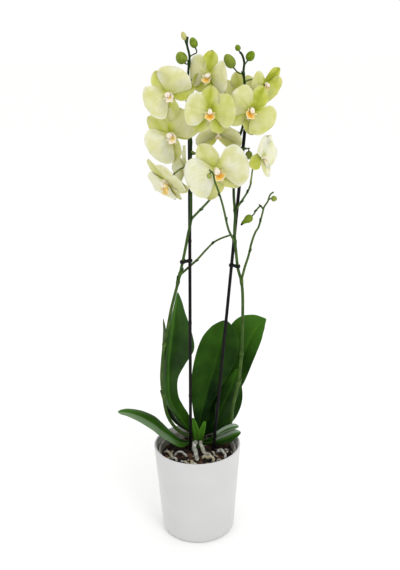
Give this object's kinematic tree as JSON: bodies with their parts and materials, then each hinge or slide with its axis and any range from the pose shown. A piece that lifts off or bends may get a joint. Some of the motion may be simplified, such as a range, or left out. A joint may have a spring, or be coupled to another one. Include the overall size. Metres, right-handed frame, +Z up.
{
  "type": "potted moth orchid",
  "caption": "Moth orchid in a round tapered pot: strap leaves, aerial roots and tall staked flower spikes with pale open blooms and buds.",
  "frame": {"origin": "centre of the pot's flat underside, on the surface it rests on", "axes": "+Z up, -Y the side that the flowers face, +X to the right of someone who looks at the flowers"},
  "size_m": [0.2401, 0.1492, 0.7304],
  "materials": {
    "cover_pot": "white, satin",
    "nursery_pot": "clear, clouded",
    "bark": "dark brown bark chips",
    "roots": "silvery green, velvety",
    "leaves": "dark green, waxy",
    "young_leaf": "bright green, waxy",
    "stems": "green stem",
    "stakes": "nearly black",
    "clips": "black",
    "petals": "cream with a yellow-green tint, soft",
    "lips": "orange and white, soft",
    "buds": "green, waxy"
  },
  "bodies": {
    "root": {"bark_medium": "bark", "bloom_left_1_lip": "lips", "bloom_left_1_petals": "petals", "bloom_left_2_lip": "lips", "bloom_left_2_petals": "petals", "bloom_left_3_lip": "lips", "bloom_left_3_petals": "petals", "bloom_left_4_lip": "lips", "bloom_left_4_petals": "petals", "bloom_left_5_lip": "lips", "bloom_left_5_petals": "petals", "bloom_left_6_lip": "lips", "bloom_left_6_petals": "petals", "bloom_left_7_lip": "lips", "bloom_left_7_petals": "petals", "bloom_right_1_lip": "lips", "bloom_right_1_petals": "petals", "bloom_right_2_lip": "lips", "bloom_right_2_petals": "petals", "bloom_right_3_lip": "lips", "bloom_right_3_petals": "petals", "bloom_right_4_lip": "lips", "bloom_right_4_petals": "petals", "bloom_right_5_lip": "lips", "bloom_right_5_petals": "petals", "bud_branch_side": "buds", "bud_branch_tip": "buds", "bud_front_small": "buds", "bud_left_hook": "buds", "bud_left_side": "buds", "bud_left_tip": "buds", "bud_right_long": "buds", "bud_right_low": "buds", "bud_right_round": "buds", "bud_right_tip": "buds", "clip_left": "clips", "clip_right": "clips", "cover_pot": "cover_pot", "leaf_back_left": "leaves", "leaf_back_right": "leaves", "leaf_front_right": "leaves", "leaf_low_left": "leaves", "leaf_low_right": "leaves", "leaf_mid_right": "leaves", "leaf_tall_left": "leaves", "leaf_upright_right": "leaves", "leaf_young": "young_leaf", "nursery_pot": "nursery_pot", "root_arch_left": "roots", "root_arch_right": "roots", "root_centre_down": "roots", "root_centre_right": "roots", "root_curl": "roots", "root_pale_left": "roots", "spike_left": "stems", "spike_right": "stems", "stake_left": "stakes", "stake_right": "stakes", "stem_base": "stems"}
  },
  "joints": []
}
